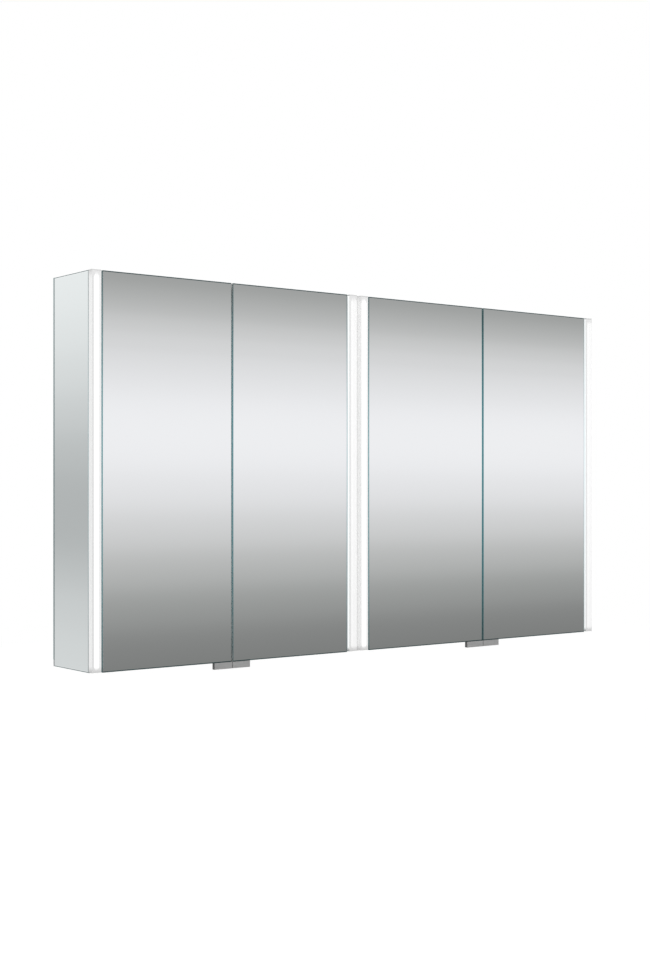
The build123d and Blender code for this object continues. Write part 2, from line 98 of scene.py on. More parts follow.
# ---- cable gland ----
gland_bore_radius = 4.0 * MM
gland_mouth_rounding = 0.7 * MM
gland_neck_radius = 8.0 * MM
gland_neck_length = 4.0 * MM
gland_lip_width = 1.2 * MM
gland_groove_width = 1.2 * MM
gland_groove_depth = 1.0 * MM
gland_flange_thickness = 3.0 * MM
gland_flange_rounding = 0.8 * MM
gland_nozzle_radius = 6.5 * MM
gland_rib_count = 4
gland_rib_depth = 0.8 * MM
gland_rib_crest = (0.3, 0.7)

# ---- caps under the rear trims ----
cap_clearance = 0.1 * MM
cap_inset = 0.15 * MM
cap_rounding = 0.6 * MM
cap_foot_height = 0.4 * MM
cap_seam_inset = 0.4 * MM
cap_seam_top = 0.2 * MM
cap_seam_foot = 0.5 * MM

# ---- mirrors; the colours are linear ----
mirror_tint = (0.922, 0.935, 0.937)
mirror_roughness = 0.02
ground_roughness = 0.3
highlight_rim_width = 2.6 * MM
deepest_reflection = 4
# Painted glow in which reflections between facing mirrors end
painted_dusk_tone = (0.30, 0.335, 0.33)

# Least part of the normal along an axis: on arrises, which lean 45 degrees, and on flat faces alone
arris_or_face = 0.6
face_alone = 0.9
# Part of the normal along Z over which a face turns into the edge at the head or the foot
level_edge_turn = (0.2, 0.4)
# Least silvering with which the exported model takes a surface for a mirror
silvered_enough = 0.6

# Edges at the head and the foot: green glass darkened with painted shade, and widths of painted dark lines
# along the faces
door_level_shade_tone = (0.012, 0.05, 0.055)
side_level_shade_tone = (0.12, 0.19, 0.20)
back_level_shade_tone = (0.07, 0.12, 0.125)
door_level_shade_lines = (1.8 * MM, 1.9 * MM)
side_level_shade_lines = (1.5 * MM, 1.5 * MM)

# Upright edges get painted light and glow, most at one share of their height, and painted shade towards both
# ends
brightest_share = 0.59
edge_light_power = 1.6
painted_edge_glow_tone = (0.04, 0.12, 0.14)
least_painted_edge_glow = 0.05
lit_edge_tones = ((0.16, 0.28, 0.29), (0.20, 0.34, 0.355))
shaded_edge_tone = (0.05, 0.12, 0.125)

# Left edges of some doors, by door number: painted light, painted shade, and near-white painted light on the
# rear sheet
left_lit_tones = {2: (0.03, 0.22, 0.24), 4: (0.05, 0.28, 0.30)}
left_shaded_tones = {2: (0.17, 0.27, 0.275), 4: (0.17, 0.27, 0.275)}
left_rear_painted_light_tones = {2: (0.95, 0.88, 0.86)}

# Widths of painted shade lines along a door's left and right edges, where the edge colour shows, by door
# number
left_shade_line_widths = {1: 0.0, 2: 0.2 * MM, 3: 0.35 * MM, 4: 0.2 * MM}
right_shade_line_widths = {1: 0.8 * MM, 2: 1.8 * MM, 3: 1.85 * MM, 4: 1.6 * MM}
# Strength of the painted shade line at a door's right edge, where the upright edges are shaded and where lit
shaded_line_strength = 0.98
lit_line_strength = 0.50

# Dark line of the bond between the two sheets of a door
bond_tone = (0.05, 0.08, 0.085)
bond_half_width = 0.45 * MM
bond_core_half_width = 0.15 * MM

# ---- light strips: lengths over which the light of a cover fades, and shares that stay ----
head_fade_length = 13 * MM
foot_fade_length = 9 * MM
capsule_blur = 1.2 * MM
flank_bright_depth = 2.5 * MM
flank_dim_depth = 8 * MM
flank_dim_share = 0.2
rim_depth = 1.2 * MM
rim_end_depth = 2.4 * MM
rim_share = 0.4
flank_back_fade = 3 * MM
flank_foot_fade = 6 * MM
# Part of the normal over which a cover's rounded corners turn into its front and its flanks
front_turn = (0.8, 0.98)
door_flank_turn = (0.7, 0.98)
outer_flank_turn = (-0.5, -0.95)
# Glow of a cover's plain parts
foot_glow = 0.05
middle_glow = 0.10
head_glow = 0.14
# Number, side of the door, margins beside the capsule and strengths of the glow, as in diffuser_material.
# Under a negative margin the capsule fills the front as far as its rounded corner.
light_strips = (
    (1, 1, (5.0 * MM, 3.8 * MM), (0.40, 0.09, 0.5, 0.21)),
    (2, -1, (3.6 * MM, -0.4 * MM), (0.205, 0.05, 0.66, 0.12)),
    (3, 1, (5.0 * MM, 1.6 * MM), (0.40, 0.09, 0.5, 0.12)),
    (4, -1, (3.6 * MM, 0.4 * MM), (0.22, 0.06, 0.55, 0.21)),
)
chip_pitch = 8 * MM
chip_half_share = 0.18

# ---- metals ----
brushed_spread = 0.12


# ---- node helpers ----
def material(name):
    """New node material: returns it with its tree and its Principled shader."""
    made = bpy.data.materials.new(name)
    made.use_nodes = True
    tree = made.node_tree
    shader = tree.nodes["Principled BSDF"]
    return made, tree, shader


def math_node(tree, operation, first, second=0.0, third=0.0, clamp=False):
    """Math node fed by sockets or numbers; returns its output."""
    node = tree.nodes.new("ShaderNodeMath")
    node.operation = operation
    node.use_clamp = clamp
    for socket, value in zip(node.inputs, (first, second, third)):
        if hasattr(value, "is_linked"):
            tree.links.new(value, socket)
        else:
            socket.default_value = value
    return node.outputs[0]


def product(tree, first, *others):
    for other in others:
        first = math_node(tree, "MULTIPLY", first, other)
    return first


def smooth_step(tree, value, low, high):
    """0 below low, 1 above high, smooth between; low and high may be swapped."""
    node = tree.nodes.new("ShaderNodeMapRange")
    node.interpolation_type = "SMOOTHSTEP"
    node.inputs["From Min"].default_value = low
    node.inputs["From Max"].default_value = high
    tree.links.new(value, node.inputs["Value"])
    return node.outputs["Result"]


def surface_point(tree):
    """Point of the surface in its own piece's space."""
    return tree.nodes.new("ShaderNodeTexCoord").outputs["Object"]


def surface_normal(tree):
    """Normal of the surface in its own piece's space."""
    return tree.nodes.new("ShaderNodeTexCoord").outputs["Normal"]


def split(tree, vector):
    """Outputs X, Y and Z of a vector."""
    node = tree.nodes.new("ShaderNodeSeparateXYZ")
    tree.links.new(vector, node.inputs[0])
    return node.outputs


def stretched(tree, vector, scale):
    """Vector scaled along each axis, for grain that runs one way."""
    node = tree.nodes.new("ShaderNodeMapping")
    node.inputs["Scale"].default_value = scale
    tree.links.new(vector, node.inputs["Vector"])
    return node.outputs[0]


def noise(tree, vector, scale=1.0, detail=3.0, roughness=0.5):
    node = tree.nodes.new("ShaderNodeTexNoise")
    node.inputs["Scale"].default_value = scale
    node.inputs["Detail"].default_value = detail
    node.inputs["Roughness"].default_value = roughness
    tree.links.new(vector, node.inputs["Vector"])
    return node.outputs["Fac"]


def ramp(tree, value, stops, interpolation="LINEAR"):
    """Colour ramp through (position, colour) stops."""
    node = tree.nodes.new("ShaderNodeValToRGB")
    node.color_ramp.interpolation = interpolation
    elements = node.color_ramp.elements
    while len(elements) < len(stops):
        elements.new(0.5)
    for element, (position, colour) in zip(elements, stops):
        element.position = position
        element.color = (*colour, 1.0)
    tree.links.new(value, node.inputs[0])
    return node.outputs["Color"]


def mix_colour(tree, amount, first, second):
    node = tree.nodes.new("ShaderNodeMix")
    node.data_type = "RGBA"
    tree.links.new(amount, node.inputs["Factor"])
    for name, value in (("A", first), ("B", second)):
        socket = [s for s in node.inputs if s.name == name and s.type == "RGBA"][0]
        if hasattr(value, "is_linked"):
            tree.links.new(value, socket)
        else:
            socket.default_value = (*value, 1.0)
    return [s for s in node.outputs if s.type == "RGBA"][0]


def mix_shader(tree, amount, first, second):
    node = tree.nodes.new("ShaderNodeMixShader")
    tree.links.new(amount, node.inputs[0])
    tree.links.new(first, node.inputs[1])
    tree.links.new(second, node.inputs[2])
    return node.outputs[0]


def bump(tree, shader, height, strength, distance, softened=0.0):
    """Fine relief; softened is the radius to which hard edges of the piece look rounded."""
    node = tree.nodes.new("ShaderNodeBump")
    node.inputs["Strength"].default_value = strength
    node.inputs["Distance"].default_value = distance
    tree.links.new(height, node.inputs["Height"])
    if softened > 0:
        rounding = tree.nodes.new("ShaderNodeBevel")
        rounding.inputs["Radius"].default_value = softened
        tree.links.new(rounding.outputs[0], node.inputs["Normal"])
    tree.links.new(node.outputs[0], shader.inputs["Normal"])


def in_export(tree, edge, is_face, edge_roughness, face_roughness, metal=False):
    """Give the edge shader of a mix the roughness and the metal of the faces too.

    The render doesn't see them on the faces, because the other shader shows there. The exported model keeps
    the first Principled node of a mix alone, with its maps, and so stays smooth or silvered on its faces.
    """
    rough = math_node(tree, "MULTIPLY_ADD", is_face, face_roughness - edge_roughness, edge_roughness)
    tree.links.new(rough, edge.inputs["Roughness"])
    if metal:
        tree.links.new(is_face, edge.inputs["Metallic"])


def seen_directly(tree):
    """1 for what the camera sees, also in gloss and through glass, and 0 for what only lights the scene."""
    path = tree.nodes.new("ShaderNodeLightPath").outputs
    seen = math_node(tree, "MAXIMUM", path["Is Camera Ray"], path["Is Glossy Ray"])
    return math_node(tree, "MAXIMUM", seen, path["Is Transmission Ray"])


# ---- colours: linear, from display levels of 0 to 255 ----
def linear(level):
    share = level / 255
    return share / 12.92 if share <= 0.04045 else ((share + 0.055) / 1.055) ** 2.4


def display(red, green, blue):
    return (linear(red), linear(green), linear(blue))


def grey(level):
    return display(level, level, level)


def silver(level):
    """Grey of the doors' reflections: a trace of green in the darks and of blue in the lights."""
    lift = max(-1.0, min(1.0, (level - 200) / 30))
    if lift > 0:
        return display(level + 0.5 * lift, level, level + 2 * lift)
    return display(level + lift, level, level + lift)


# ---- mirrors ----
def painted_edge_light(tree, height, low, high):
    """Painted light in the upright edges: 1 at their brightest height, 0 at the foot (low) and the head
    (high).
    """
    brightest = low + brightest_share * (high - low)
    above = math_node(tree, "SUBTRACT", height, brightest)
    to_head = math_node(tree, "DIVIDE", above, high - brightest)
    to_foot = math_node(tree, "DIVIDE", above, low - brightest)
    loss = math_node(tree, "POWER", math_node(tree, "MAXIMUM", to_head, to_foot), edge_light_power)
    return math_node(tree, "SUBTRACT", 1.0, loss, clamp=True)


def near_ends(tree, height, low, high, head_width, foot_width):
    """1 within head_width of the head (high) and foot_width of the foot (low), and 0 between."""
    near_head = math_node(tree, "GREATER_THAN", height, high - head_width)
    near_foot = math_node(tree, "LESS_THAN", height, low + foot_width)
    return math_node(tree, "MAXIMUM", near_head, near_foot)


def upright_edge_tone(tree, point, place, normal, light, bond_plane, door_number):
    """Colour of the ground upright edges in painted light and shade. A door's bond shows as a dark line
    between its two sheets.
    """
    frosting = noise(tree, stretched(tree, point, (400, 400, 60)), detail=2.0)
    lit = ramp(tree, frosting, list(zip((0.3, 0.7), lit_edge_tones)))
    shaded = shaded_edge_tone
    faces_left = math_node(tree, "LESS_THAN", normal["X"], -arris_or_face)
    if door_number in left_lit_tones:
        lit = mix_colour(tree, faces_left, lit, left_lit_tones[door_number])
        shaded = mix_colour(tree, faces_left, shaded, left_shaded_tones[door_number])
    tone = mix_colour(tree, light, shaded, lit)
    # Near-white painted light on the left edge of the rear sheet
    if door_number in left_rear_painted_light_tones:
        in_rear_sheet = math_node(tree, "GREATER_THAN", place["Y"], bond_plane + bond_half_width)
        rear_left = product(tree, in_rear_sheet, faces_left)
        tone = mix_colour(tree, rear_left, tone, left_rear_painted_light_tones[door_number])
    if door_number:
        from_bond = math_node(tree, "ABSOLUTE", math_node(tree, "SUBTRACT", place["Y"], bond_plane))
        bond = smooth_step(tree, from_bond, bond_half_width, bond_core_half_width)
        tone = mix_colour(tree, bond, tone, bond_tone)
    return tone


def door_silver(tree, place, squareness, light, low, high, door_number):
    """Faces and polished arrises of a door, less the painted shade lines along its left and right edges."""
    left_shade_line = math_node(tree, "LESS_THAN", place["X"], low.x + left_shade_line_widths[door_number])
    right_shade_line = math_node(tree, "GREATER_THAN", place["X"], high.x - right_shade_line_widths[door_number])
    gain = lit_line_strength - shaded_line_strength
    strength = math_node(tree, "MULTIPLY_ADD", light, gain, shaded_line_strength)
    line = math_node(tree, "MAXIMUM", left_shade_line, product(tree, right_shade_line, strength))
    is_face = math_node(tree, "GREATER_THAN", squareness, arris_or_face)
    return product(tree, is_face, math_node(tree, "SUBTRACT", 1.0, line))


def ended_in_dusk(tree, surface):
    """Reflections between facing mirrors end in a painted dusky glow, not in the black where the renderer
    stops.
    """
    dusk = tree.nodes.new("ShaderNodeEmission")
    dusk.inputs["Color"].default_value = (*painted_dusk_tone, 1)
    depth = tree.nodes.new("ShaderNodeLightPath").outputs["Glossy Depth"]
    spent = math_node(tree, "GREATER_THAN", depth, deepest_reflection - 0.5)
    return mix_shader(tree, spent, surface, dusk.outputs[0])


def mirror_material(name, face_axis, low, high, level_shade_tone, level_shade_lines=(0, 0), door_number=None):
    """Silvered glass: a mirror on its faces, ground green glass on its edges.

    low and high are the corners of the sheet, and on a door those of its front sheet. level_shade_tone
    colours the
    edges at the head and the foot: green ground glass, darkened with painted shade. level_shade_lines are
    the widths of painted dark lines along the head and the foot of the faces. A door shows them from the
    front alone. The upright edges get painted light, shade and glow. A plain mirror has a painted highlight
    along its head, its foot and its rear.
    """
    made, tree, shader = material(name)
    point = surface_point(tree)
    place, normal = split(tree, point), split(tree, surface_normal(tree))
    shader.inputs["Metallic"].default_value = 1.0
    shader.inputs["Roughness"].default_value = mirror_roughness
    waviness = noise(tree, point, scale=2.5, detail=1.0)
    bump(tree, shader, waviness, strength=0.015, distance=2 * MM)

    squareness = math_node(tree, "ABSOLUTE", normal[face_axis])
    light = painted_edge_light(tree, place["Z"], low.z, high.z)
    level_edge = smooth_step(tree, math_node(tree, "ABSOLUTE", normal["Z"]), *level_edge_turn)
    # Painted dark lines along the head and the foot of the faces
    level_shade_line = near_ends(tree, place["Z"], low.z, high.z, *level_shade_lines)
    level_shade_line = product(tree, level_shade_line, math_node(tree, "GREATER_THAN", squareness, arris_or_face))
    level_edge = math_node(tree, "MAXIMUM", level_edge, level_shade_line)
    if door_number:
        shader.inputs["Base Color"].default_value = (*mirror_tint, 1)
        level_edge = product(tree, level_edge, math_node(tree, "LESS_THAN", normal["Y"], -arris_or_face))
        is_face = door_silver(tree, place, squareness, light, low, high, door_number)
    else:
        # Painted highlight: the base colour turns white along the head, the foot and the rear
        rim = near_ends(tree, place["Z"], low.z, high.z, highlight_rim_width, highlight_rim_width)
        rear_rim = math_node(tree, "GREATER_THAN", place["Y"], high.y - highlight_rim_width)
        rim = math_node(tree, "MAXIMUM", rim, rear_rim)
        tree.links.new(mix_colour(tree, rim, mirror_tint, (1, 1, 1)), shader.inputs["Base Color"])
        is_face = math_node(tree, "GREATER_THAN", squareness, face_alone)
    upright = math_node(tree, "SUBTRACT", 1.0, level_edge)
    silvered = product(tree, is_face, upright)

    edge = tree.nodes.new("ShaderNodeBsdfPrincipled")
    tone = upright_edge_tone(tree, point, place, normal, light, high.y, door_number)
    tree.links.new(mix_colour(tree, level_edge, tone, level_shade_tone), edge.inputs["Base Color"])
    edge.inputs["IOR"].default_value = 1.52
    # Painted glow of the upright edges, strongest where their painted light is
    edge.inputs["Emission Color"].default_value = (*painted_edge_glow_tone, 1)
    glow = math_node(tree, "MULTIPLY_ADD", light, 1.0 - least_painted_edge_glow, least_painted_edge_glow)
    tree.links.new(product(tree, glow, upright), edge.inputs["Emission Strength"])
    is_mirror = math_node(tree, "GREATER_THAN", silvered, silvered_enough)
    in_export(tree, edge, is_mirror, ground_roughness, mirror_roughness, metal=True)

    surface = mix_shader(tree, silvered, edge.outputs[0], shader.outputs[0])
    tree.links.new(ended_in_dusk(tree, surface), tree.nodes["Material Output"].inputs["Surface"])
    return made


# ---- other materials ----
def lacquer_material():
    """White lacquered board with a faint orange peel."""
    made, tree, shader = material("white_lacquer")
    point = surface_point(tree)
    cloudiness = noise(tree, point, scale=9.0)
    tone = ramp(tree, cloudiness, [(0.3, (0.78, 0.78, 0.77)), (0.7, (0.81, 0.81, 0.80))])
    tree.links.new(tone, shader.inputs["Base Color"])
    shader.inputs["Roughness"].default_value = 0.32
    peel = noise(tree, point, scale=900.0, detail=2.0)
    bump(tree, shader, peel, strength=0.05, distance=0.2 * MM, softened=0.8 * MM)
    return made


def board_material():
    """Grey coated rear board with a fine fibre texture."""
    made, tree, shader = material("coated_board")
    fibres = noise(tree, stretched(tree, surface_point(tree), (60, 60, 420)), detail=4.0)
    tone = ramp(tree, fibres, [(0.3, display(196, 198, 198)), (0.7, display(208, 210, 210))])
    tree.links.new(tone, shader.inputs["Base Color"])
    shader.inputs["Roughness"].default_value = 0.6
    bump(tree, shader, fibres, strength=0.15, distance=0.2 * MM)
    return made


def brushed_material(name, dark, light, grain, roughness, metallic=1.0, softened=0.0, end_shade_tone=None):
    """Brushed or drawn metal whose fine lines run along the axis with the smallest grain value.

    end_shade_tone is the colour of the sawn ends, which face along X: painted shade that makes them darker.
    """
    made, tree, shader = material(name)
    lines = noise(tree, stretched(tree, surface_point(tree), grain), roughness=0.6)
    tone = ramp(tree, lines, [(0.25, dark), (0.75, light)])
    # Painted shade on the ends
    if end_shade_tone:
        squareness = math_node(tree, "ABSOLUTE", split(tree, surface_normal(tree))["X"])
        tone = mix_colour(tree, math_node(tree, "GREATER_THAN", squareness, 0.7), tone, end_shade_tone)
    tree.links.new(tone, shader.inputs["Base Color"])
    shader.inputs["Metallic"].default_value = metallic
    rough = smooth_step(tree, lines, 0.0, 1.0)
    rough = math_node(tree, "MULTIPLY_ADD", rough, brushed_spread, roughness - brushed_spread / 2)
    tree.links.new(rough, shader.inputs["Roughness"])
    bump(tree, shader, lines, strength=0.12, distance=0.1 * MM, softened=softened)
    return made


def plastic_material(name, colour, roughness):
    """Moulded plastic or rubber with a fine spark texture."""
    made, tree, shader = material(name)
    point = surface_point(tree)
    darker = tuple(0.94 * value for value in colour)
    tone = ramp(tree, noise(tree, point, scale=30.0), [(0.3, darker), (0.7, colour)])
    tree.links.new(tone, shader.inputs["Base Color"])
    shader.inputs["Roughness"].default_value = roughness
    sparks = noise(tree, point, scale=1200.0, detail=2.0)
    bump(tree, shader, sparks, strength=0.05, distance=0.2 * MM)
    return made


def shelf_glass_material():
    """Clear float glass: clear through its faces, green and matt along its ground edges, which carry a
    painted glow.
    """
    made, tree, shader = material("shelf_glass")
    point = surface_point(tree)
    shader.inputs["Transmission Weight"].default_value = 1.0
    shader.inputs["IOR"].default_value = 1.5
    shader.inputs["Roughness"].default_value = 0.0
    shader.inputs["Base Color"].default_value = (0.955, 0.985, 0.975, 1)
    waviness = noise(tree, point, scale=3.0, detail=1.0)
    bump(tree, shader, waviness, strength=0.01, distance=1 * MM)

    edge = tree.nodes.new("ShaderNodeBsdfPrincipled")
    frosting = noise(tree, stretched(tree, point, (60, 400, 400)), detail=2.0)
    green = ramp(tree, frosting, [(0.3, display(112, 166, 160)), (0.7, display(128, 184, 178))])
    tree.links.new(green, edge.inputs["Base Color"])
    edge.inputs["IOR"].default_value = 1.5
    # Painted glow of the ground edges
    edge.inputs["Emission Color"].default_value = (0.05, 0.14, 0.13, 1)
    edge.inputs["Emission Strength"].default_value = 0.5
    squareness = math_node(tree, "ABSOLUTE", split(tree, surface_normal(tree))["Z"])
    is_face = math_node(tree, "GREATER_THAN", squareness, face_alone)
    in_export(tree, edge, is_face, edge_roughness=0.35, face_roughness=0.0)
    surface = mix_shader(tree, is_face, edge.outputs[0], shader.outputs[0])
    tree.links.new(surface, tree.nodes["Material Output"].inputs["Surface"])
    return made


def front_glow(tree, place, normal, low, high, door_side, margins, levels, fade):
    """Glow of a cover's front: the capsule, and a glow beside it that grows towards the door."""
    door_margin, outer_margin = margins
    capsule_level, margin_level = levels
    width = high.x - low.x - door_margin - outer_margin
    centre = (low.x + high.x) / 2 - door_side * (door_margin - outer_margin) / 2
    to_right = math_node(tree, "SUBTRACT", place["X"], centre)
    half_width = product(tree, math_node(tree, "SQRT", fade), width / 2)
    within = math_node(tree, "SUBTRACT", half_width, math_node(tree, "ABSOLUTE", to_right))
    faces_front = smooth_step(tree, product(tree, normal["Y"], -1), *front_turn)
    capsule = product(tree, smooth_step(tree, within, -capsule_blur, capsule_blur), fade, faces_front)
    margin = product(tree, smooth_step(tree, product(tree, to_right, door_side), 0.0, width / 2), fade)
    glow = product(tree, capsule, capsule_level)
    return math_node(tree, "MULTIPLY_ADD", margin, margin_level, glow)


def flank_glow(tree, place, normal, low, high, door_side, levels, fade):
    """Glow of a cover's flanks: at the door bright just behind the rim, and outside on all but the back."""
    door_level, outer_level = levels
    to_side = product(tree, normal["X"], door_side)
    to_door = smooth_step(tree, to_side, *door_flank_turn)
    to_outside = smooth_step(tree, to_side, *outer_flank_turn)
    near_front = smooth_step(tree, place["Y"], low.y + flank_dim_depth, low.y + flank_bright_depth)
    near_front = math_node(tree, "MULTIPLY_ADD", near_front, 1 - flank_dim_share, flank_dim_share)
    off_rim = smooth_step(tree, place["Y"], low.y + rim_depth, low.y + rim_end_depth)
    off_rim = math_node(tree, "MULTIPLY_ADD", off_rim, 1 - rim_share, rim_share)
    off_foot = smooth_step(tree, place["Z"], low.z, low.z + flank_foot_fade)
    off_back = smooth_step(tree, place["Y"], high.y, high.y - flank_back_fade)
    door_flank = product(tree, to_door, off_foot, near_front, off_rim, door_level)
    outer_flank = product(tree, to_outside, off_back, fade)
    return math_node(tree, "MULTIPLY_ADD", outer_flank, outer_level, door_flank)


def diffuser_material(name, low, high, door_side, margins, glow_levels):
    """Opal cover, lit from behind: a long capsule of light on its front and bright flanks.

    margins are the widths left plain beside the capsule, to the door and to the outside.
    glow_levels are the strengths of the capsule, the margin to the door, the flank to it and the outer one.
    """
    made, tree, shader = material(name)
    point = surface_point(tree)
    place, normal = split(tree, point), split(tree, surface_normal(tree))
    grain = noise(tree, point, scale=700.0, detail=2.0)
    tone = ramp(tree, grain, [(0.3, (0.80, 0.80, 0.80)), (0.7, (0.83, 0.83, 0.83))])
    tree.links.new(tone, shader.inputs["Base Color"])
    shader.inputs["Roughness"].default_value = 0.35

    off_head = smooth_step(tree, place["Z"], high.z, high.z - head_fade_length)
    off_foot = smooth_step(tree, place["Z"], low.z, low.z + foot_fade_length)
    fade = product(tree, off_head, off_foot)
    front = front_glow(tree, place, normal, low, high, door_side, margins, glow_levels[:2], fade)
    flank = flank_glow(tree, place, normal, low, high, door_side, glow_levels[2:], fade)
    glow = math_node(tree, "ADD", math_node(tree, "ADD", front, flank), foot_glow + head_glow - middle_glow)
    glow = math_node(tree, "MULTIPLY_ADD", off_foot, middle_glow - foot_glow, glow)
    glow = math_node(tree, "MULTIPLY_ADD", off_head, middle_glow - head_glow, glow)
    shader.inputs["Emission Color"].default_value = (1, 1, 1, 1)
    tree.links.new(glow, shader.inputs["Emission Strength"])
    return made


def led_board_material():
    """White circuit board with a row of small yellow chips."""
    made, tree, shader = material("led_board")
    place = split(tree, surface_point(tree))
    phase = math_node(tree, "FRACT", math_node(tree, "DIVIDE", place["Z"], chip_pitch))
    off_centre = math_node(tree, "ABSOLUTE", math_node(tree, "SUBTRACT", phase, 0.5))
    chip = math_node(tree, "LESS_THAN", off_centre, chip_half_share)
    tone = mix_colour(tree, chip, (0.82, 0.82, 0.80), (0.80, 0.72, 0.35))
    tree.links.new(tone, shader.inputs["Base Color"])
    shader.inputs["Roughness"].default_value = 0.5
    return made


def dress(finish, *names):
    for name in names:
        nodes[name].data.materials.clear()
        nodes[name].data.materials.append(finish)


# ---- doors and mirrored faces ----
for number in numbers:
    front, rear = f"front_mirror_{number}", f"rear_mirror_{number}"
    finish = mirror_material(
        f"door_mirror_{number}", "Y", *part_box(front), door_level_shade_tone, door_level_shade_lines, number
    )
    dress(finish, front, rear)
for side in ("left", "right"):
    side_mirror, back_mirror = f"{side}_side_mirror", f"{side}_back_mirror"
    finish = mirror_material(side_mirror, "X", *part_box(side_mirror), side_level_shade_tone, side_level_shade_lines)
    dress(finish, side_mirror)
    dress(mirror_material(back_mirror, "Y", *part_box(back_mirror), back_level_shade_tone), back_mirror)

# ---- carcass ----
dress(
    lacquer_material(),
    "top_panel",
    "bottom_panel",
    "left_side_panel",
    "right_side_panel",
    "left_partition",
    "right_partition",
    "centre_spacer",
)
dress(board_material(), "rear_sheet")
trim = brushed_material(
    "anodised_trim", display(184, 193, 194), display(196, 205, 206), grain=(600, 600, 20), roughness=0.42
)
dress(trim, "rear_edge_trims")

# ---- light strips ----
for number, door_side, margins, glow_levels in light_strips:
    strip = f"light_diffuser_{number}"
    opal = diffuser_material(f"opal_{number}", *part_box(strip), door_side, margins, glow_levels)
    dress(opal, strip)
dress(plastic_material("end_cap_plastic", grey(236), 0.45), "light_end_caps")
profile_metal = brushed_material(
    "strip_profile", grey(175), grey(195), grain=(600, 600, 20), roughness=0.35
)
dress(profile_metal, "light_base_profiles")
dress(led_board_material(), "led_boards")

# ---- shelves and fittings ----
dress(shelf_glass_material(), *[f"glass_shelf_{number}" for number in numbers])
nickel = brushed_material(
    "nickel_plate", grey(176), grey(198), grain=(300, 300, 300), roughness=0.3, softened=0.4 * MM
)
dress(nickel, "hinge_arms", "driver_screws")
for number in numbers:
    dress(nickel, f"hinge_brackets_{number}", f"inner_links_{number}", f"outer_links_{number}")
handle_metal = brushed_material(
    "brushed_handle",
    grey(190),
    grey(212),
    grain=(25, 900, 900),
    roughness=0.5,
    metallic=0.6,
    # ends darkened with painted shade
    end_shade_tone=grey(106),
)
dress(handle_metal, *[f"door_handle_{number}" for number in numbers])
dress(plastic_material("driver_plastic", (0.76, 0.76, 0.75), 0.5), "led_driver")
dress(plastic_material("switch_plastic", (0.80, 0.80, 0.79), 0.25), "switch_plate", "switch_rocker")
bush_metal = brushed_material("bush_metal", grey(170), grey(190), grain=(300, 20, 300), roughness=0.4)
dress(bush_metal, "mounting_bushes")
bumper_plastic = plastic_material("clear_bumper", (0.72, 0.73, 0.73), 0.3)
gland_rubber = plastic_material("gland_rubber", (0.03, 0.03, 0.03), 0.65)
cap_plastic = plastic_material("trim_cap_plastic", display(198, 202, 204), 0.5)


# ---- small pieces: finer forms of the frame's plain solids ----
def solids(node):
    """Corner points of each separate solid of a CAD node, in the order of their lowest corners."""
    mesh = bmesh.new()
    mesh.from_mesh(nodes[node].data)
    bmesh.ops.remove_doubles(mesh, verts=mesh.verts, dist=0.001 * MM)
    waiting = set(mesh.verts)
    found = []
    while waiting:
        front = [waiting.pop()]
        points = []
        while front:
            vertex = front.pop()
            points.append(vertex.co.copy())
            for edge in vertex.link_edges:
                neighbour = edge.other_vert(vertex)
                if neighbour in waiting:
                    waiting.remove(neighbour)
                    front.append(neighbour)
        found.append(points)
    mesh.free()
    return sorted(found, key=lambda points: tuple(round(value, 6) for value in corners(points)[0]))


def corners(points):
    low = Vector([min(point[axis] for point in points) for axis in range(3)])
    high = Vector([max(point[axis] for point in points) for axis in range(3)])
    return low, high


def band(mesh, lower, upper):
    """Add the faces between two rings of corners, one of which may be a single point."""
    count = max(len(lower), len(upper))
    for step in range(count):
        after = (step + 1) % count
        around = (lower[step % len(lower)], lower[after % len(lower)],
                  upper[after % len(upper)], upper[step % len(upper)])
        mesh.faces.new(list(dict.fromkeys(around)))


def turned(mesh, profile, base, axis, segments=32, bored=False):
    """Add a turned solid: profile holds (radius, height) from its foot to its head along the axis."""
    turn = axis.to_track_quat("Z", "Y")
    rings = []
    for radius, height in profile:
        count = segments if radius > 0 else 1
        angles = [2 * pi * step / segments for step in range(count)]
        places = [Vector((radius * cos(angle), radius * sin(angle), height)) for angle in angles]
        rings.append([mesh.verts.new(base + turn @ place) for place in places])
    if bored:
        rings.append(rings[0])
    for lower, upper in zip(rings, rings[1:]):
        band(mesh, lower, upper)
    return rings


def cross_recess(mesh, rim, base, axis, height, arm_reach):
    """Close the open rim of a screw head with a flat that has a tapered cross sunk in it."""
    turn = axis.to_track_quat("Z", "Y")
    half_width = recess_arm_half_width
    quarter = [(arm_reach, -half_width), (arm_reach, half_width), (half_width, half_width)]
    outline = []
    for step in range(4):
        swing = Matrix.Rotation(step * pi / 2, 2)
        outline += [swing @ Vector(corner) for corner in quarter]

    def loop_at(level, scale):
        return [mesh.verts.new(base + turn @ Vector((p.x * scale, p.y * scale, level))) for p in outline]

    mouth = loop_at(height, 1.0)
    recess_floor = loop_at(height - recess_depth, recess_floor_share)
    edges = [mesh.edges.new((first, second)) for first, second in zip(mouth, mouth[1:] + mouth[:1])]
    edges += [mesh.edges.get((first, second)) for first, second in zip(rim, rim[1:] + rim[:1])]
    bmesh.ops.triangle_fill(mesh, use_beauty=True, edges=edges, normal=axis)
    band(mesh, mouth, recess_floor)
    mesh.faces.new(recess_floor)


def piece(name, mesh, finish, slot, body, *replaced):
    """Object of a finished mesh that rides on a body and stands for the CAD nodes named after it."""
    bmesh.ops.recalc_face_normals(mesh, faces=mesh.faces)
    data = bpy.data.meshes.new(name)
    mesh.to_mesh(data)
    mesh.free()
    data.shade_smooth()
    data.set_sharp_from_angle(angle=radians(35))
    data.materials.append(finish)
    made = bpy.data.objects.new(name, data)
    scene.collection.objects.link(made)
    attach(made, body)
    if replaced:
        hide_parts(*replaced)


